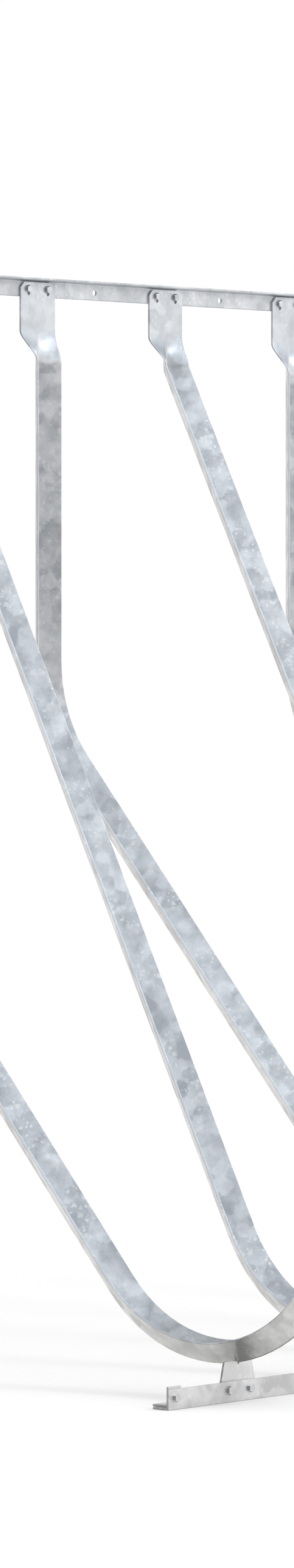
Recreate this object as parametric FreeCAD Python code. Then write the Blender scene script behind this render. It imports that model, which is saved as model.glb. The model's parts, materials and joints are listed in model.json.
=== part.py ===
import FreeCAD, Part
import math
import os

# Bike rack between wall and floor: five V gutters, low and high in turn, on a wall rail and a floor rail.
# Millimetres, +X along the wall, +Y towards the wall, +Z up, the floor at zero.

Vector = FreeCAD.Vector

# Layout along the wall
gutter_pitch = 375.0
gutter_count = 5
rail_end_reach = 187.5

# Gutter bar: an equal angle, used as a V
wing_width = 50.0
bar_thickness = 4.0
wing_angle = 45.0
root_flat = 3.0
toe_radius = 0.8

# Gutter path, seen from the side: out from the wall, and up from the floor
cradle_radius = 318.0
cradle_centre_out = 1087.0
cradle_clear_height = 60.5
lip_angle = 50.0
low_slope = 49.1
low_bend_radius = 318.0
heel_wall_gap = 1.0
high_bend_radius = 40.0

# Flattened top plate of each gutter
plate_width = 98.0
plate_flat_height = 92.0
opening_length = 62.0
fold_waist = 5.0
high_corner_drop = 157.0
plate_corner = 10.5
slot_width = 9.5
slot_travel = 7.5

# Rails: one equal angle for both
rail_flange = 35.0
rail_thickness = 4.0
rail_root_radius = 2.5
rail_toe_radius = 2.0
rail_hole_gauge = 20.0
top_rail_height = 1996.0
plate_gap_under_flange = 3.0

# Wall fixing holes in the top rail
wall_hole_radius = 6.0
wall_hole_offset = 168.0
end_hole_inset = 19.5

# Floor fixing holes in the floor rail
floor_hole_radius = 5.5

# Bolts and nuts
bolt_radius = 4.0
bolt_hole_radius = 4.5
bolt_spacing = 55.0
head_across_flats = 13.0
head_height = 5.3
nut_height = 6.5
bolt_tip_past_nut = 3.0
thread_clearance = 0.05
hex_chamfer = 0.8

# Foot plates
foot_plate_thickness = 4.0
foot_plate_bottom_width = 103.0
foot_plate_top_width = 72.0
foot_plate_top_rise = 4.0
foot_plate_floor_gap = 3.0
notch_relief_radius = 2.5
weld_gap = 0.2
rail_front_out = 1146.5

# End cleats of the floor rail
cleat_length = 33.0
cleat_end_inset = 4.0
cleat_heel_clearance = 0.5

# Places worked out from the sizes above
cradle_centre_up = cradle_clear_height + cradle_radius
overall_depth = cradle_centre_out + cradle_radius * math.sin(math.radians(lip_angle))
rail_half_length = (gutter_count - 1) / 2.0 * gutter_pitch + rail_end_reach
plate_back_out = rail_thickness
plate_top = top_rail_height - rail_thickness - plate_gap_under_flange
plate_foot = plate_top - plate_flat_height
top_bolt_height = top_rail_height - rail_hole_gauge
foot_plate_front_out = rail_front_out - rail_thickness
foot_plate_back_out = foot_plate_front_out - foot_plate_thickness
high_corner_up = plate_top - high_corner_drop
high_reach = cradle_centre_out - heel_wall_gap
high_rise = high_corner_up - cradle_centre_up
high_tangent_turn = math.asin(cradle_radius / math.hypot(high_reach, high_rise))
high_slope = math.degrees(math.atan2(high_rise, high_reach) + high_tangent_turn)
high_bend_top = high_corner_up + high_bend_radius * math.tan(math.radians((90.0 - high_slope) / 2.0))
gutter_places = [(i - (gutter_count - 1) / 2.0) * gutter_pitch for i in range(gutter_count)]


def point(x, out, up):
    """A point given along the wall, out from the wall and up from the floor."""
    return Vector(x, overall_depth / 2.0 - out, up)


def along(slope):
    """Unit direction down a path that falls at this slope, and level at slope 0."""
    s = math.radians(slope)
    return Vector(0, -math.cos(s), -math.sin(s))


def path_point(out, up, slope, distance):
    """Move down a path by a distance, and give the new place out and up."""
    s = math.radians(slope)
    return out + distance * math.cos(s), up - distance * math.sin(s)


def arc_point(radius, centre_out, centre_up, slope):
    """The point of an arc, hollow side up, where its path falls at this slope."""
    s = math.radians(slope)
    return centre_out - radius * math.sin(s), centre_up - radius * math.cos(s)


def bar_section(x, out, up, slope, fold):
    """Face of the bar square to its path, each wing folded up from flat by an angle.

    The heel is at the given place, and the hollow side faces up and out.
    """
    s = math.radians(slope)
    f = math.radians(fold)
    spread = math.tan(f) / math.tan(math.radians(wing_angle))
    waist = fold_waist * math.sin(math.pi * fold / wing_angle)
    half = plate_width / 2.0 + (wing_width - plate_width / 2.0) * spread - waist
    heel = bar_thickness / math.cos(f)

    def place(side, reach, lift):
        across = side * (reach * math.cos(f) - lift * math.sin(f))
        rise = reach * math.sin(f) + lift * math.cos(f)
        return point(x + across, out + rise * math.sin(s), up + rise * math.cos(s))

    def centre_line(rise):
        return point(x, out + rise * math.sin(s), up + rise * math.cos(s))

    def inner(side, reach):
        return place(side, reach + bar_thickness * math.tan(f), bar_thickness)

    def toe(side):
        """Outer corner, edge, rounded inner corner and start of the inner face, from the heel out."""
        low = place(side, half, 0)
        edge = place(side, half, bar_thickness - toe_radius)
        turn = toe_radius * math.sqrt(0.5)
        middle = place(side, half - toe_radius + turn, bar_thickness - toe_radius + turn)
        face = place(side, half - toe_radius, bar_thickness)
        return low, edge, middle, face

    right = toe(1)
    left = toe(-1)
    root_right = inner(1, root_flat)
    root_left = inner(-1, root_flat)
    if fold > 0:
        root_radius = root_flat / math.tan(f)
        root_middle = centre_line(heel + root_radius * (1 / math.cos(f) - 1))
        root = Part.Arc(root_right, root_middle, root_left).toShape()
    else:
        root = Part.makeLine(root_right, root_left)
    outer_heel = centre_line(0)
    edges = [
        Part.makeLine(outer_heel, right[0]),
        Part.makeLine(right[0], right[1]),
        Part.Arc(right[1], right[2], right[3]).toShape(),
        Part.makeLine(right[3], root_right),
        root,
        Part.makeLine(root_left, left[3]),
        Part.Arc(left[3], left[2], left[1]).toShape(),
        Part.makeLine(left[1], left[0]),
        Part.makeLine(left[0], outer_heel),
    ]
    return Part.Wire(edges)


def straight_bar(x, out, up, slope, length):
    section = Part.Face(bar_section(x, out, up, slope, wing_angle))
    return section.extrude(along(slope) * length)


def curved_bar(x, radius, centre_out, centre_up, slope_from, slope_to):
    out, up = arc_point(radius, centre_out, centre_up, slope_from)
    section = Part.Face(bar_section(x, out, up, slope_from, wing_angle))
    return section.revolve(point(x, centre_out, centre_up), Vector(-1, 0, 0), slope_from - slope_to)


def smooth_share(t):
    return t * t * (3.0 - 2.0 * t)


def opened_end(x, stations):
    """The stretch where the flat plate folds up into the V, through a list of (out, up, slope)."""
    last = len(stations) - 1
    sections = []
    for i, (out, up, slope) in enumerate(stations):
        fold = wing_angle * smooth_share(i / last)
        sections.append(bar_section(x, out, up, slope, fold))
    return Part.makeLoft(sections, True, False)


def top_plate(x, foot):
    """The flat top of a gutter: two corners cut off, and two slots that hang on the bolts."""
    section = Part.Face(bar_section(x, plate_back_out, foot, 90.0, 0.0))
    plate = section.extrude(Vector(0, 0, plate_top - foot))
    cut_depth = plate_back_out + 2 * bar_thickness
    for side in (-1, 1):
        corner_x = x + side * plate_width / 2.0
        corner = Part.makePolygon([
            point(corner_x, 0, plate_top),
            point(corner_x - side * plate_corner, 0, plate_top),
            point(corner_x, 0, plate_top - plate_corner),
            point(corner_x, 0, plate_top),
        ])
        plate = plate.cut(Part.Face(corner).extrude(Vector(0, -cut_depth, 0)))
        plate = plate.cut(slot(x + side * bolt_spacing / 2.0))
    return plate


def slot(x):
    """Cutter for an upright slot: the bolt sits in its top end."""
    depth = plate_back_out + 2 * bar_thickness
    radius = slot_width / 2.0
    outward = Vector(0, -1, 0)
    slot_bottom = top_bolt_height - slot_travel
    top = Part.makeCylinder(radius, depth, point(x, 0, top_bolt_height), outward)
    bottom = Part.makeCylinder(radius, depth, point(x, 0, slot_bottom), outward)
    corner = point(x - radius, depth, slot_bottom)
    middle = Part.makeBox(slot_width, depth, slot_travel, corner)
    return top.fuse([bottom, middle])


def joined(pieces):
    solid = pieces[0].fuse(pieces[1:]).removeSplitter()
    return solid.Solids[0] if len(solid.Solids) == 1 else solid


def slope_start(slope):
    """Where a straight slope runs into the cradle's arc."""
    return arc_point(cradle_radius, cradle_centre_out, cradle_centre_up, slope)


def height_on_slope(slope, out):
    """Height of the slope's line above the floor, at a distance out from the wall."""
    end_out, end_up = slope_start(slope)
    return end_up + (end_out - out) * math.tan(math.radians(slope))


def cradle(x, slope):
    return curved_bar(x, cradle_radius, cradle_centre_out, cradle_centre_up, slope, -lip_angle)


def slope_bar(x, slope, start):
    """Straight bar from a place on the slope's line down to the cradle."""
    end_out, end_up = slope_start(slope)
    length = math.hypot(end_out - start[0], end_up - start[1])
    return straight_bar(x, start[0], start[1], slope, length)


def fold_stations(length):
    """Places down a fold of this length, on which the heel moves back from the rail to the wall."""
    steps = 6
    stations = []
    for i in range(steps + 1):
        share = i / steps
        out = plate_back_out + (heel_wall_gap - plate_back_out) * smooth_share(share)
        stations.append((out, plate_foot - share * length, 90.0))
    return stations


def low_gutter(x):
    """Plate, upright leg, bend, slope and cradle in one bar."""
    leg_top = plate_foot - opening_length
    bend_tangent = low_bend_radius * math.tan(math.radians((90.0 - low_slope) / 2.0))
    corner_up = height_on_slope(low_slope, heel_wall_gap)
    bend_top = corner_up + bend_tangent
    slope_from = path_point(heel_wall_gap, corner_up, low_slope, bend_tangent)
    bend_centre_out = heel_wall_gap + low_bend_radius
    return joined([
        top_plate(x, plate_foot),
        opened_end(x, fold_stations(opening_length)),
        straight_bar(x, heel_wall_gap, leg_top, 90.0, leg_top - bend_top),
        curved_bar(x, low_bend_radius, bend_centre_out, bend_top, 90.0, low_slope),
        slope_bar(x, low_slope, slope_from),
        cradle(x, low_slope),
    ])


def high_gutter(x):
    """Plate, bend, slope and cradle in one bar: the plate folds up just above the bend."""
    bend_centre_out = heel_wall_gap + high_bend_radius
    bend_end = arc_point(high_bend_radius, bend_centre_out, high_bend_top, high_slope)
    return joined([
        top_plate(x, plate_foot),
        opened_end(x, fold_stations(plate_foot - high_bend_top)),
        curved_bar(x, high_bend_radius, bend_centre_out, high_bend_top, 90.0, high_slope),
        slope_bar(x, high_slope, bend_end),
        cradle(x, high_slope),
    ])


def angle_bar(length, heel_radius=0.0):
    """Angle section with its heel on the X axis, flanges along +Y and +Z, from x = 0 to length."""
    w = rail_flange
    t = rail_thickness
    toe = rail_toe_radius
    root = rail_root_radius
    toe_turn = toe * (1 - math.sqrt(0.5))
    root_turn = root * (1 - math.sqrt(0.5))
    heel_turn = heel_radius * (1 - math.sqrt(0.5))

    def at(y, z):
        return Vector(0, y, z)

    def arc(first, middle, last):
        return Part.Arc(first, middle, last).toShape()

    edges = [
        Part.makeLine(at(heel_radius, 0), at(w, 0)),
        Part.makeLine(at(w, 0), at(w, t - toe)),
        arc(at(w, t - toe), at(w - toe_turn, t - toe_turn), at(w - toe, t)),
        Part.makeLine(at(w - toe, t), at(t + root, t)),
        arc(at(t + root, t), at(t + root_turn, t + root_turn), at(t, t + root)),
        Part.makeLine(at(t, t + root), at(t, w - toe)),
        arc(at(t, w - toe), at(t - toe_turn, w - toe_turn), at(t - toe, w)),
        Part.makeLine(at(t - toe, w), at(0, w)),
        Part.makeLine(at(0, w), at(0, heel_radius)),
    ]
    if heel_radius > 0:
        edges.append(arc(at(0, heel_radius), at(heel_turn, heel_turn), at(heel_radius, 0)))
    return Part.Face(Part.Wire(edges)).extrude(Vector(length, 0, 0))


def hole_through(x, out, up, direction, radius):
    """Cutter for a hole through one flange, from its face inwards."""
    start = point(x, out, up) - direction * rail_thickness / 2.0
    return Part.makeCylinder(radius, 2 * rail_thickness, start, direction)


def wall_hole_places():
    """Wall holes: one beside each gutter, and one near the rail's first end."""
    return [-rail_half_length + end_hole_inset] + [x + wall_hole_offset for x in gutter_places]


def floor_hole_places():
    """Floor holes: midway between neighbouring gutters."""
    return [x + gutter_pitch / 2.0 for x in gutter_places[:-1]]


def bolt_places():
    return [x + side * bolt_spacing / 2.0 for x in gutter_places for side in (-1, 1)]


def end_bolt_places():
    reach = rail_half_length - end_hole_inset
    return [-reach, reach]


def top_rail():
    """Heel at the wall and on top, one flange down the wall and one out over the plates."""
    rail = angle_bar(2 * rail_half_length)
    rail.rotate(Vector(0, 0, 0), Vector(1, 0, 0), 180.0)
    rail.translate(point(-rail_half_length, 0, top_rail_height))
    outward = Vector(0, -1, 0)
    for x in bolt_places():
        radius = bolt_radius + thread_clearance
        rail = rail.cut(hole_through(x, 0, top_bolt_height, outward, radius))
    for x in wall_hole_places():
        rail = rail.cut(hole_through(x, 0, top_bolt_height, outward, wall_hole_radius))
    return rail


def floor_rail():
    """Heel at the front on the floor, one flange up and one back towards the wall."""
    rail = angle_bar(2 * rail_half_length)
    rail.translate(point(-rail_half_length, rail_front_out, 0))
    inward = Vector(0, 1, 0)
    for x in bolt_places() + end_bolt_places():
        rail = rail.cut(hole_through(x, rail_front_out, rail_hole_gauge, inward, bolt_hole_radius))
    for x in floor_hole_places():
        out = rail_front_out - rail_hole_gauge
        rail = rail.cut(hole_through(x, out, 0, Vector(0, 0, 1), floor_hole_radius))
    return rail


def foot_plate(x):
    """Trapezoid plate behind the rail's upright flange, notched for the gutter's heel, with a relief hole."""
    bottom = rail_thickness + foot_plate_floor_gap
    middle_out = foot_plate_front_out - foot_plate_thickness / 2.0
    drop = math.sqrt(cradle_radius ** 2 - (middle_out - cradle_centre_out) ** 2)
    heel_up = cradle_centre_up - drop
    top = heel_up + foot_plate_top_rise
    half_bottom = foot_plate_bottom_width / 2.0
    half_top = foot_plate_top_width / 2.0
    outline = Part.makePolygon([
        point(x - half_bottom, foot_plate_front_out, bottom),
        point(x + half_bottom, foot_plate_front_out, bottom),
        point(x + half_top, foot_plate_front_out, top),
        point(x - half_top, foot_plate_front_out, top),
        point(x - half_bottom, foot_plate_front_out, bottom),
    ])
    plate = Part.Face(outline).extrude(Vector(0, foot_plate_thickness, 0))
    plate = plate.cut(heel_notch(x))
    inward = Vector(0, 1, 0)
    depth = 2 * (rail_front_out - foot_plate_back_out)
    relief_start = point(x, rail_front_out, heel_up)
    plate = plate.cut(Part.makeCylinder(notch_relief_radius, depth, relief_start, inward))
    for side in (-1, 1):
        start = point(x + side * bolt_spacing / 2.0, rail_front_out, rail_hole_gauge)
        plate = plate.cut(Part.makeCylinder(bolt_hole_radius, depth, start, inward))
    return plate


def heel_notch(x):
    """Cutter under the cradle: the V's outer faces, moved out by the weld gap, and all above them."""
    radius = cradle_radius + weld_gap / math.sin(math.radians(wing_angle))
    reach = wing_width
    out, up = arc_point(radius, cradle_centre_out, cradle_centre_up, 0.0)
    lift = reach * math.tan(math.radians(wing_angle))
    wedge = Part.makePolygon([
        point(x, out, up),
        point(x + reach, out, up + lift),
        point(x - reach, out, up + lift),
        point(x, out, up),
    ])
    axis_place = point(x, cradle_centre_out, cradle_centre_up)
    return Part.Face(wedge).revolve(axis_place, Vector(-1, 0, 0), lip_angle / 2.0)


def hexagon(centre, direction, height):
    """Hexagon prism with two corners up and down, its ends' corners turned off by a cone."""
    corner_radius = head_across_flats / math.sqrt(3.0)
    side = Vector(1, 0, 0)
    upright = Vector(0, 0, 1)
    corners = []
    for i in range(7):
        a = math.radians(90.0 + 60.0 * i)
        corners.append(centre + (side * math.cos(a) + upright * math.sin(a)) * corner_radius)
    return Part.Face(Part.makePolygon(corners)).extrude(direction * height)


def turned_end(centre, direction, height):
    """Round blank that cuts a hexagon's corners back at its outer end."""
    wide = head_across_flats / math.sqrt(3.0)
    narrow = wide - hex_chamfer * math.sqrt(3.0)
    body = Part.makeCylinder(wide, height - hex_chamfer, centre, direction)
    taper_start = centre + direction * (height - hex_chamfer)
    taper = Part.makeCone(wide, narrow, hex_chamfer, taper_start, direction)
    return body.fuse(taper)


def hex_bolt(x, out, up, grip):
    """Bolt with its head's seat at this place, head outwards, and its shank towards the wall."""
    outward = Vector(0, -1, 0)
    seat = point(x, out, up)
    head = hexagon(seat, outward, head_height).common(turned_end(seat, outward, head_height))
    shank = Part.makeCylinder(bolt_radius, grip, seat, outward * -1)
    return head.fuse(shank).removeSplitter()


def hex_nut(x, out, up):
    """Nut whose seat faces out at this place."""
    inward = Vector(0, 1, 0)
    seat = point(x, out, up)
    body = hexagon(seat, inward, nut_height).common(turned_end(seat, inward, nut_height))
    return body.cut(Part.makeCylinder(bolt_radius + thread_clearance, nut_height, seat, inward))


def top_bolts(x):
    """Pair of bolts that hang the gutter's plate on the top rail, screwed into the rail's flange."""
    seat_out = plate_back_out + bar_thickness
    pair = [x - bolt_spacing / 2.0, x + bolt_spacing / 2.0]
    return Part.makeCompound([hex_bolt(place, seat_out, top_bolt_height, seat_out) for place in pair])


def foot_bolts(x):
    grip = rail_front_out - foot_plate_back_out + nut_height + bolt_tip_past_nut
    pair = [x - bolt_spacing / 2.0, x + bolt_spacing / 2.0]
    return Part.makeCompound([hex_bolt(place, rail_front_out, rail_hole_gauge, grip) for place in pair])


def foot_nuts(x):
    pair = [x - bolt_spacing / 2.0, x + bolt_spacing / 2.0]
    return Part.makeCompound([hex_nut(place, foot_plate_back_out, rail_hole_gauge) for place in pair])


def end_cleat(side):
    """Short angle nested in the floor rail at one end, its heel rounded to clear the rail's root."""
    cleat = angle_bar(cleat_length, rail_root_radius + cleat_heel_clearance)
    outer_end = rail_half_length - cleat_end_inset
    start = outer_end - cleat_length if side > 0 else -outer_end
    cleat.translate(point(start, rail_front_out - rail_thickness, rail_thickness))
    start = point(side * (rail_half_length - end_hole_inset), rail_front_out, rail_hole_gauge)
    return cleat.cut(Part.makeCylinder(bolt_hole_radius, 3 * rail_thickness, start, Vector(0, 1, 0)))


def end_bolt(side):
    grip = 2 * rail_thickness + nut_height + bolt_tip_past_nut
    return hex_bolt(side * (rail_half_length - end_hole_inset), rail_front_out, rail_hole_gauge, grip)


def end_nut(side):
    seat_out = rail_front_out - 2 * rail_thickness
    return hex_nut(side * (rail_half_length - end_hole_inset), seat_out, rail_hole_gauge)


def all_nodes():
    nodes = {"top_rail": top_rail(), "floor_rail": floor_rail()}
    for i, x in enumerate(gutter_places):
        number = i + 1
        if i % 2 == 0:
            nodes[f"low_gutter_{number}"] = low_gutter(x)
        else:
            nodes[f"high_gutter_{number}"] = high_gutter(x)
        nodes[f"foot_plate_{number}"] = foot_plate(x)
        nodes[f"top_bolts_{number}"] = top_bolts(x)
        nodes[f"foot_bolts_{number}"] = foot_bolts(x)
        nodes[f"foot_nuts_{number}"] = foot_nuts(x)
    for name, side in (("left", -1), ("right", 1)):
        nodes[f"{name}_end_cleat"] = end_cleat(side)
        nodes[f"{name}_end_bolt"] = end_bolt(side)
        nodes[f"{name}_end_nut"] = end_nut(side)
    return nodes


def main():
    os.makedirs("parts", exist_ok=True)
    for name, shape in all_nodes().items():
        shape.exportStep(f"parts/{name}.step")
        print(name, len(shape.Solids), "solids, valid:", shape.isValid(), round(shape.Volume, 1))


main()
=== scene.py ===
import bpy
import json
import math
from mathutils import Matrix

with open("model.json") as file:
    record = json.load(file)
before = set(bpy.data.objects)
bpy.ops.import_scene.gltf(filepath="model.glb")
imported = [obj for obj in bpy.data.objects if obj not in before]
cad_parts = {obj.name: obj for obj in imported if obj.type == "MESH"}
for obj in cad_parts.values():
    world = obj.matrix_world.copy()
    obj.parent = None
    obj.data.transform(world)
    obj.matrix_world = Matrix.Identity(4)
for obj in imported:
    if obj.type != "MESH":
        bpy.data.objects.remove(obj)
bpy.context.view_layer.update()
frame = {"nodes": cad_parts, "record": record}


# Places on the rack that the finish follows, in metres: a pair holds both ends of a soft step

HALF_PITCH = 0.1875             # from the middle of a gutter to halfway to the next one
FOOT_Y = -0.4772                # the foot plates, where the painted shade on the lip starts
LIP_SHADE_LEAN = 0.65                # how much the start of the painted shade leans ahead away from the heel
LIP_SHADE_START = (-0.004, 0.004)    # ahead of the foot plate
LIP_SHADE_FADE = (0.004, 0.066)      # ahead of the foot plate
LIP_SHADE_TOP_Z = (0.14, 0.18)
HEEL_SHADE_LINE = (0.0011, 0.0021)    # from a gutter's middle, like the next four: the painted dark heel line
TOE_INSIDE = (0.0322, 0.0328)
TOE_CORNER = (0.0349, 0.0351)
TOE_OUTSIDE = (0.0355, 0.0357)
SLOT_OUTSIDE = (0.0345, 0.0350)
SLOT_TOP_Z = (1.984, 1.985)
RAIL_FACE_Y = (0.650, 0.655)


# Ways a face can lie, as soft steps in one part of its normal, or in the normal along FRONT_AND_UP

FRONT_AND_UP = (0.0, -0.45, 1.0)
TURNED_FRONT = (-0.2, 0.25)
TURNED_UP = (0.4, 0.65)
FLECKED = (-0.3, 0.65)
TOE_SIDE = (0.05, 0.15)
UP_FADES_Y = (-0.38, 0.12)
TOE_FADES_Y = (-0.25, 0.05)
PRESSED_Y = (-0.98, -0.86)
RAIL_FRONT_Y = (-0.98, -0.90)
UNDER_Z = (-0.69, -0.57)
LIP_OUTER_Z = (-0.45, -0.25)
SLANTED_X = (0.55, 0.65)
SIDEWAYS_SHADE_X = (0.80, 0.92)

# Painted shade colour, for faces turned sideways and for the gutters' toe corners
PAINTED_SHADE_COLOUR = (0.22, 0.22, 0.22)
# Painted shade on the lip beside the foot plates and along the heel
LIP_SHADE_COLOUR = (0.22, 0.22, 0.215)
# Painted light on the rail's face behind the plates' slots
SLOT_LIGHT_COLOUR = (1.0, 1.0, 1.0)
LIP_SHADE_SHARE = 0.7
CORNER_SHADE_SHARE = 0.6
HEEL_SHADE_SHARE = 1.1
TOE_CALM = 0.8
TOE_TONE = 0.85
PRESSED_TONE = 0.5

RISING = (0.0, 1.0)
FALLING = (1.0, 0.0)


# The zinc's pattern: scales in waves or cells per metre, moves in metres

WOBBLE_SCALE = 70.0
WAVY_MOVE = 0.014
NUDGED_MOVE = 0.006
DRIFT_SCALE = 0.3               # of the clouds' scale
PATCH_SCALE = 38.0
CLOUD_SHARE, DRIFT_SHARE, PATCH_SHARE = 0.55, 0.29, 0.16
CONTRAST = (0.37, 0.63)
FIELD_SCALE = 11.0
LARGE_FLECKS = {"scale": 1.35, "metric": "CHEBYCHEV", "rarity": 0.72, "field": (0.46, 0.54), "block": (0.22, 0.40)}
SMALL_FLECKS = {"scale": 2.1, "metric": "EUCLIDEAN", "rarity": 0.45, "field": (0.43, 0.55), "block": (0.14, 0.48)}
LARGE_SHARE = 0.75
FLECK_BRIGHTNESS = (0.3, 1.0)
FLECK_GLOSS = 0.08
METALLIC = 0.85
DARK_ROUGHER, LIGHT_SMOOTHER = 0.07, 0.05
GRAIN_SCALE = 420.0
GRAIN_SHARE = 0.05
BUMP_STRENGTH = 0.15
BUMP_HEIGHT = 0.004


# Node helpers

def new_material(name):
    material = bpy.data.materials.new(name)
    material.use_nodes = True
    tree = material.node_tree
    tree.nodes.clear()
    return material, tree


def add(tree, kind, **values):
    """A node with its settings, and its sockets by name."""
    node = tree.nodes.new(kind)
    for key, value in values.items():
        if key in node.inputs.keys():
            node.inputs[key].default_value = value
        else:
            setattr(node, key, value)
    return node


def link(tree, source, target):
    tree.links.new(source, target)


def scalar(tree, operation, a, b=0.0):
    """A Math node on sockets or numbers."""
    node = add(tree, "ShaderNodeMath", operation=operation)
    for socket, value in zip(node.inputs, (a, b)):
        if isinstance(value, float):
            socket.default_value = value
        else:
            link(tree, value, socket)
    return node.outputs[0]


def times(tree, *factors):
    """Product of sockets and numbers."""
    product = factors[0]
    for factor in factors[1:]:
        product = scalar(tree, "MULTIPLY", product, factor)
    return product


def pull(tree, value, target, share):
    """A value moved towards a target number by a share."""
    return scalar(tree, "ADD", value, times(tree, share, scalar(tree, "SUBTRACT", target, value)))


def spread(tree, value, source, target=RISING, smooth=False):
    """Maps a value from one range to another, held at the ends."""
    node = add(tree, "ShaderNodeMapRange", clamp=True)
    if smooth:
        node.interpolation_type = "SMOOTHSTEP"
    link(tree, value, node.inputs["Value"])
    for socket, number in zip(("From Min", "From Max", "To Min", "To Max"), (*source, *target)):
        node.inputs[socket].default_value = number
    return node.outputs["Result"]


def axes_of(tree, vector):
    node = add(tree, "ShaderNodeSeparateXYZ")
    link(tree, vector, node.inputs["Vector"])
    return node.outputs


def noise(tree, place, scale, detail=2.0, roughness=0.5):
    node = add(tree, "ShaderNodeTexNoise", Scale=scale, Detail=detail, Roughness=roughness)
    link(tree, place, node.inputs["Vector"])
    return node.outputs


def bend(tree, place, colour, amount):
    """A place moved by a noise's colour."""
    node = add(tree, "ShaderNodeVectorMath", operation="MULTIPLY_ADD")
    link(tree, colour, node.inputs[0])
    node.inputs[1].default_value = (amount, amount, amount)
    link(tree, place, node.inputs[2])
    return node.outputs["Vector"]


def cells(tree, place, scale, metric="EUCLIDEAN", randomness=1.0, smoothness=0.0):
    """Distance to the nearest cell's middle, and the cell's random colour in parts."""
    node = add(tree, "ShaderNodeTexVoronoi", Scale=scale, Randomness=randomness, distance=metric)
    if smoothness > 0.0:
        node.feature = "SMOOTH_F1"
        node.inputs["Smoothness"].default_value = smoothness
    link(tree, place, node.inputs["Vector"])
    parts = add(tree, "ShaderNodeSeparateColor")
    link(tree, node.outputs["Color"], parts.inputs["Color"])
    return node.outputs["Distance"], parts.outputs


def blend(tree, share, first, second):
    """Colour mix of sockets or colours."""
    node = add(tree, "ShaderNodeMix", data_type="RGBA")
    link(tree, share, node.inputs[0])
    for socket, value in ((node.inputs[6], first), (node.inputs[7], second)):
        if isinstance(value, tuple):
            socket.default_value = (*value, 1.0)
        else:
            link(tree, value, socket)
    return node.outputs[2]


def ramp(tree, value, dark, light):
    node = add(tree, "ShaderNodeValToRGB")
    node.color_ramp.elements[0].color = (*dark, 1.0)
    node.color_ramp.elements[1].color = (*light, 1.0)
    link(tree, value, node.inputs["Fac"])
    return node.outputs["Color"]


def show(tree, shader):
    """Ends a material in a shader's socket."""
    link(tree, shader, add(tree, "ShaderNodeOutputMaterial").inputs["Surface"])


# Zinc

def from_middle(tree, axes):
    """Distance sideways from the middle of the nearest gutter."""
    return scalar(tree, "PINGPONG", axes["X"], HALF_PITCH)


def painted_lip_shade(tree, place, normal):
    """Share of painted shade on the lip's outer faces: a dark patch that fades from the foot plate on, standing in
    for the plate's shaded reflection, and a painted dark line along the heel, where its rounding mirrors the shaded
    floor.
    """
    axes = axes_of(tree, place)
    across = from_middle(tree, axes)
    ahead = scalar(tree, "SUBTRACT", FOOT_Y, axes["Y"])
    along = scalar(tree, "SUBTRACT", ahead, times(tree, across, LIP_SHADE_LEAN))
    start = spread(tree, along, LIP_SHADE_START, smooth=True)
    fade = spread(tree, along, LIP_SHADE_FADE, FALLING, smooth=True)
    heel = spread(tree, across, HEEL_SHADE_LINE, (HEEL_SHADE_SHARE, 0.0))
    outer = spread(tree, normal["Z"], LIP_OUTER_Z, FALLING)
    low = spread(tree, axes["Z"], LIP_SHADE_TOP_Z, FALLING)
    return times(tree, start, scalar(tree, "MAXIMUM", fade, heel), times(tree, outer, low))


def toe_shares(tree, place, sideways, facing):
    """Shares of the gutters' toes: the even strip along the bar's edge, and the thin line of painted shade at the
    corner beside it.
    """
    across = from_middle(tree, axes_of(tree, place))
    slanted = times(tree, spread(tree, sideways, SLANTED_X), spread(tree, across, TOE_OUTSIDE, FALLING))
    strip = times(tree, spread(tree, across, TOE_INSIDE), slanted, spread(tree, facing, TOE_SIDE))
    return strip, times(tree, spread(tree, across, TOE_CORNER), slanted)


def slot_light_share(tree, place, normal):
    """1 on the top rail's front face where the plates' slots are: painted light, white where shade falls in the
    slots, and it shows only through them.
    """
    axes = axes_of(tree, place)
    behind = times(tree, spread(tree, from_middle(tree, axes), SLOT_OUTSIDE, FALLING),
                   spread(tree, axes["Z"], SLOT_TOP_Z, FALLING))
    face = times(tree, spread(tree, normal["Y"], RAIL_FRONT_Y, FALLING), spread(tree, axes["Y"], RAIL_FACE_Y))
    return times(tree, behind, face)


def fleck_layer(tree, place, size, field, layer):
    """Crystals of one size: only some cells, only where the field is strong, each as bright as it likes."""
    distance, random = cells(tree, place, size * layer["scale"], layer["metric"], 0.9)
    shape = spread(tree, distance, layer["block"], FALLING, smooth=True)
    chosen = spread(tree, random["Green"], (layer["rarity"], layer["rarity"] + 0.05))
    brightness = spread(tree, random["Blue"], (0.0, 1.0), FLECK_BRIGHTNESS)
    return times(tree, shape, chosen, spread(tree, field, layer["field"]), brightness)


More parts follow.
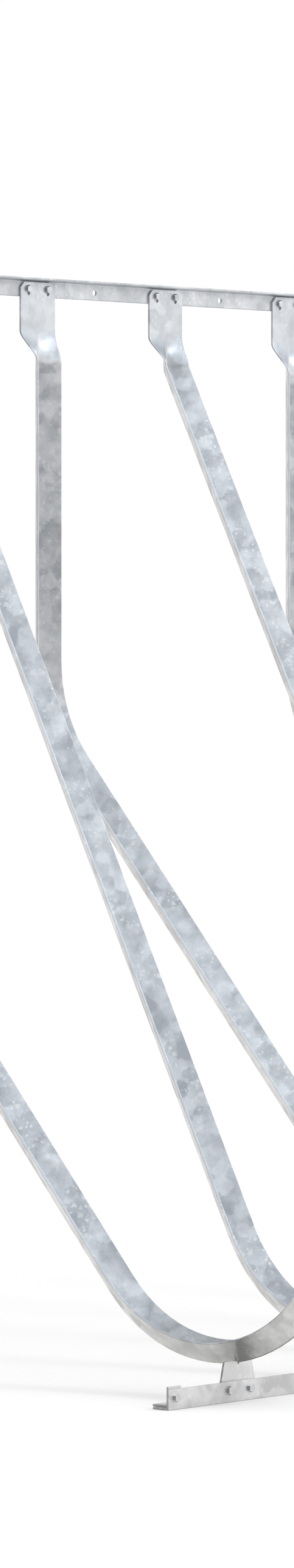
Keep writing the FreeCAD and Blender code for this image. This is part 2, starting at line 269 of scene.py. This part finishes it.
def zinc(name, up, front, back, under, fleck, cloud_scale=22.0, roughness=0.37, fleck_size=58.0, fleck_share=0.85,
         shift=0.0, edge=0.6, calm=0.0, gutter=False, slot_light=False):
    """Hot-dip galvanised steel: soft clouds, crystal patches and small bright blocky flecks.

    The tint changes with the way a face turns, up, to the front, to the back or under the bar: this is painted light,
    cool where lit from above, warm from a bounce behind and darker underneath.
    Faces turned sideways get painted shade. Gutters also have painted shade on the lip beside the foot plates and
    along the heel, the pale toes and a line of painted shade at their corners; a rail can also have painted light on
    its face behind the slots.
    """
    material, tree = new_material(name)
    coordinates = add(tree, "ShaderNodeTexCoord").outputs
    place = coordinates["Object"]
    moved = add(tree, "ShaderNodeMapping", Location=(shift, shift * 0.7, shift * 0.3))
    link(tree, place, moved.inputs["Vector"])
    spot = moved.outputs["Vector"]
    wobble = noise(tree, spot, WOBBLE_SCALE, 4.0, 0.68)["Color"]
    wavy = bend(tree, spot, wobble, WAVY_MOVE)
    nudged = bend(tree, spot, wobble, NUDGED_MOVE)

    # How each face lies
    normal = axes_of(tree, coordinates["Normal"])
    sideways = scalar(tree, "ABSOLUTE", normal["X"])
    direction = add(tree, "ShaderNodeVectorMath", operation="DOT_PRODUCT")
    link(tree, coordinates["Normal"], direction.inputs[0])
    direction.inputs[1].default_value = FRONT_AND_UP
    facing = direction.outputs["Value"]
    pressed = spread(tree, normal["Y"], PRESSED_Y, (calm, 0.0))

    # Light and dark clouds, calmer on pressed plates and on the gutters' toes
    clouds = noise(tree, spot, cloud_scale, 4.0, 0.62)["Fac"]
    drifts = noise(tree, spot, cloud_scale * DRIFT_SCALE, 1.0)["Fac"]
    patch = cells(tree, wavy, PATCH_SCALE, smoothness=0.3)[1]["Red"]
    mix = scalar(tree, "ADD", times(tree, clouds, CLOUD_SHARE), times(tree, drifts, DRIFT_SHARE))
    mix = scalar(tree, "ADD", mix, times(tree, patch, PATCH_SHARE))
    tone = pull(tree, spread(tree, mix, CONTRAST), PRESSED_TONE, pressed)
    if gutter:
        strip, corner = toe_shares(tree, place, sideways, facing)
        strip = times(tree, strip, spread(tree, normal["Y"], TOE_FADES_Y, (TOE_CALM, 0.0)))
        tone = pull(tree, tone, TOE_TONE, strip)

    # Painted light: tint by the way the face lies, cool turned up, warm turned back, darker under the bar; then the
    # painted shade marks
    fronted = spread(tree, facing, TURNED_FRONT, smooth=True)
    lifted = times(tree, spread(tree, facing, TURNED_UP, smooth=True),
                   spread(tree, normal["Y"], UP_FADES_Y, FALLING))
    hidden = spread(tree, normal["Z"], UNDER_Z, FALLING, smooth=True)
    base = blend(tree, fronted, ramp(tree, tone, *back), ramp(tree, tone, *front))
    base = blend(tree, lifted, base, ramp(tree, tone, *up))
    base = blend(tree, hidden, base, ramp(tree, tone, *under))
    # Painted shade on faces turned sideways, by the edge share: cut edges, bolt facets and rail ends darker, as on a
    # shaded side
    base = blend(tree, spread(tree, sideways, SIDEWAYS_SHADE_X, (0.0, edge)), base, PAINTED_SHADE_COLOUR)
    if gutter:
        # Painted shade: a dark patch on the lip beside the foot plate and a dark line along the heel
        base = blend(tree, times(tree, painted_lip_shade(tree, place, normal), LIP_SHADE_SHARE), base, LIP_SHADE_COLOUR)
        # A thin line of painted shade along the toe corner
        base = blend(tree, times(tree, corner, CORNER_SHADE_SHARE), base, PAINTED_SHADE_COLOUR)
    # Painted light in the slots: the rail's face behind them turned white
    if slot_light:
        base = blend(tree, slot_light_share(tree, place, normal), base, SLOT_LIGHT_COLOUR)

    # Flecks, fainter on pressed plates and under the bar
    field = noise(tree, spot, FIELD_SCALE, 1.0)["Fac"]
    large = fleck_layer(tree, nudged, fleck_size, field, LARGE_FLECKS)
    small = fleck_layer(tree, wavy, fleck_size, field, SMALL_FLECKS)
    showing = pull(tree, spread(tree, facing, FLECKED, FLECK_BRIGHTNESS), 0.0, pressed)
    flecks = times(tree, scalar(tree, "MAXIMUM", times(tree, large, LARGE_SHARE), small), showing)

    shader = add(tree, "ShaderNodeBsdfPrincipled", Metallic=METALLIC)
    link(tree, blend(tree, times(tree, flecks, fleck_share), base, fleck), shader.inputs["Base Color"])
    rough = spread(tree, tone, (0.0, 1.0), (roughness + DARK_ROUGHER, roughness - LIGHT_SMOOTHER))
    link(tree, scalar(tree, "SUBTRACT", rough, times(tree, flecks, FLECK_GLOSS)), shader.inputs["Roughness"])
    grain = noise(tree, spot, GRAIN_SCALE, 3.0, 0.6)["Fac"]
    bump = add(tree, "ShaderNodeBump", Strength=BUMP_STRENGTH, Distance=BUMP_HEIGHT)
    link(tree, scalar(tree, "ADD", clouds, times(tree, grain, GRAIN_SHARE)), bump.inputs["Height"])
    link(tree, bump.outputs["Normal"], shader.inputs["Normal"])
    show(tree, shader.outputs["BSDF"])
    return material


# Dark and light end of each tint; the gutter's four, chosen by facing, are lit and shaded copies of one zinc: painted
# light
cool_lit_from_above = ((0.45, 0.49, 0.54), (0.74, 0.795, 0.86))
front_facing_plain = ((0.40, 0.415, 0.44), (0.77, 0.785, 0.81))
warm_bounce_from_back = ((0.515, 0.512, 0.502), (0.76, 0.757, 0.746))
shaded_underneath = ((0.48, 0.48, 0.465), (0.64, 0.64, 0.62))
even = ((0.53, 0.53, 0.53), (0.72, 0.72, 0.72))
cut = ((0.49, 0.497, 0.507), (0.67, 0.678, 0.69))
faint = ((0.49, 0.505, 0.525), (0.64, 0.655, 0.68))
pale = ((0.66, 0.655, 0.655), (0.76, 0.755, 0.755))
finishes = {
    "gutter_zinc": zinc("gutter_zinc_look", cool_lit_from_above, front_facing_plain, warm_bounce_from_back, shaded_underneath, (0.86, 0.90, 0.94),
                        shift=11.63, edge=0.25, calm=0.55, gutter=True),
    "rail_zinc": zinc("rail_zinc_look", even, even, even, even, (0.84, 0.84, 0.84),
                      fleck_share=0.75, shift=1.7),
    "plate_zinc": zinc("plate_zinc_look", pale, pale, pale, pale, (0.90, 0.89, 0.89),
                       fleck_share=0.75, shift=3.1),
    "fastener_zinc": zinc("fastener_zinc_look", cut, cut, cut, cut, (0.77, 0.78, 0.79), cloud_scale=90.0,
                          roughness=0.33, fleck_size=260.0, fleck_share=0.3, shift=4.3),
}
# The top rail gets painted light on its face behind the slots
top_finish = zinc("top_rail_look", faint, faint, faint, faint, (0.80, 0.82, 0.85),
                  fleck_share=0.6, shift=6.1, slot_light=True)
slots = {entry["node"]: entry["material_slot"] for entry in frame["record"]["subparts"]}
for node, obj in frame["nodes"].items():
    obj.data.materials.clear()
    obj.data.materials.append(top_finish if node == "top_rail" else finishes[slots[node]])


def sheet(name, corners, material):
    """A flat sheet with four corners."""
    mesh = bpy.data.meshes.new(name)
    mesh.from_pydata(corners, [], [(0, 1, 2, 3)])
    mesh.materials.append(material)
    obj = bpy.data.objects.new(name, mesh)
    bpy.context.scene.collection.objects.link(obj)
    return obj


# Floor: a pale sheet that fades to white away from the rack

def seen_rays(tree):
    """1 for rays from the camera, and for what mirror-like and clear surfaces show."""
    paths = add(tree, "ShaderNodeLightPath").outputs
    seen = scalar(tree, "MAXIMUM", paths["Is Camera Ray"], paths["Is Glossy Ray"])
    return scalar(tree, "MAXIMUM", seen, paths["Is Transmission Ray"])


def pale_floor():
    material, tree = new_material("pale_floor")
    place = add(tree, "ShaderNodeTexCoord").outputs["Object"]
    length = add(tree, "ShaderNodeVectorMath", operation="LENGTH")
    link(tree, place, length.inputs[0])
    far = spread(tree, length.outputs["Value"], (1.0, 2.4), smooth=True)
    shades = ramp(tree, noise(tree, place, 60.0, 4.0)["Fac"], (0.95, 0.95, 0.95), (0.97, 0.97, 0.97))
    diffuse = add(tree, "ShaderNodeBsdfDiffuse")
    link(tree, shades, diffuse.inputs["Color"])
    white = add(tree, "ShaderNodeEmission", Color=(1.0, 1.0, 1.0, 1.0), Strength=1.0)
    mix = add(tree, "ShaderNodeMixShader")
    link(tree, times(tree, far, seen_rays(tree)), mix.inputs["Fac"])
    link(tree, diffuse.outputs["BSDF"], mix.inputs[1])
    link(tree, white.outputs["Emission"], mix.inputs[2])
    show(tree, mix.outputs["Shader"])
    return material


REACH = 60.0
FLOOR_DROP = -0.0005
floor = sheet("floor", [(-REACH, -REACH, 0), (REACH, -REACH, 0), (REACH, REACH, 0), (-REACH, REACH, 0)], pale_floor())
floor.location.z = FLOOR_DROP


# World: an even white room

world = bpy.data.worlds.new("studio")
bpy.context.scene.world = world
world.use_nodes = True
world.node_tree.nodes.clear()
room = add(world.node_tree, "ShaderNodeBackground", Color=(1.0, 1.0, 1.0, 1.0), Strength=1.0)
sky = add(world.node_tree, "ShaderNodeOutputWorld")
link(world.node_tree, room.outputs["Background"], sky.inputs["Surface"])


# Grey cards out of sight, that only the metal mirrors: one on the left, one high behind and one over the rack

def grey_card(name, corners, dark, light):
    material, tree = new_material(name)
    place = add(tree, "ShaderNodeTexCoord").outputs["Object"]
    diffuse = add(tree, "ShaderNodeBsdfDiffuse")
    link(tree, ramp(tree, noise(tree, place, 3.0)["Fac"], dark, light), diffuse.inputs["Color"])
    show(tree, diffuse.outputs["BSDF"])
    card = sheet(name, corners, material)
    card.visible_camera = False
    card.visible_diffuse = False
    card.visible_shadow = False


grey_card("side_card", [(-3.0, -4.0, 0.0), (-3.0, 4.5, 0.0), (-3.0, 4.5, 2.2), (-3.0, -4.0, 2.2)],
          (0.35, 0.35, 0.35), (0.40, 0.40, 0.40))
grey_card("back_card", [(-6.0, 5.0, 3.0), (4.0, 5.0, 3.0), (4.0, 5.0, 8.0), (-6.0, 5.0, 8.0)],
          (0.55, 0.55, 0.55), (0.61, 0.61, 0.61))
grey_card("over_card", [(-7.0, -1.0, 8.0), (4.0, -1.0, 8.0), (4.0, 5.0, 8.0), (-7.0, 5.0, 8.0)],
          (0.55, 0.55, 0.55), (0.61, 0.61, 0.61))


# Lamps: a broad soft box on the right, a small one in front and one overhead

def lamp(name, place, target, size, power, colour):
    """A soft box of a width and height in metres, turned to its target."""
    data = bpy.data.lights.new(name, "AREA")
    data.shape = "RECTANGLE"
    data.size, data.size_y = size
    data.energy = power
    data.color = colour
    obj = bpy.data.objects.new(name, data)
    bpy.context.scene.collection.objects.link(obj)
    obj.location = place
    direction = [t - p for t, p in zip(target, place)]
    yaw = math.atan2(direction[1], direction[0]) - math.pi / 2
    pitch = math.asin(direction[2] / math.hypot(*direction)) + math.pi / 2
    obj.rotation_euler = (pitch, 0.0, yaw)


lamp("side", (6.2, -4.8, 1.4), (0.0, 0.3, 1.2), (5.0, 4.0), 24.0, (1.0, 0.99, 0.98))
lamp("front", (1.2, -3.9, 3.9), (0.0, 0.5, 1.8), (1.3, 1.3), 32.0, (0.99, 1.0, 1.0))
lamp("over", (1.9, -2.4, 5.2), (0.0, 0.5, 1.7), (2.4, 2.4), 15.0, (0.96, 0.99, 1.0))


# Camera at the photograph's place: level, its frame slid down

PHOTO_HEIGHT = 2576.0    # pixels, like the next two
FOCAL_LENGTH = 10701.8
FRAME_SLIDE = -235.0
SENSOR = 36.0            # millimetres
CAMERA_PLACE = (-9.28664, -7.68146, 1.3024)
CAMERA_YAW = -49.036     # degrees

camera_data = bpy.data.cameras.new("camera")
camera_data.sensor_width = SENSOR
camera_data.lens = SENSOR * FOCAL_LENGTH / PHOTO_HEIGHT
camera_data.shift_y = FRAME_SLIDE / PHOTO_HEIGHT
camera_data.clip_end = 200.0
camera = bpy.data.objects.new("camera", camera_data)
camera.location = CAMERA_PLACE
camera.rotation_euler = (math.radians(90.0), 0.0, math.radians(CAMERA_YAW))
bpy.context.scene.collection.objects.link(camera)
bpy.context.scene.camera = camera

bpy.context.scene.view_settings.view_transform = "Standard"
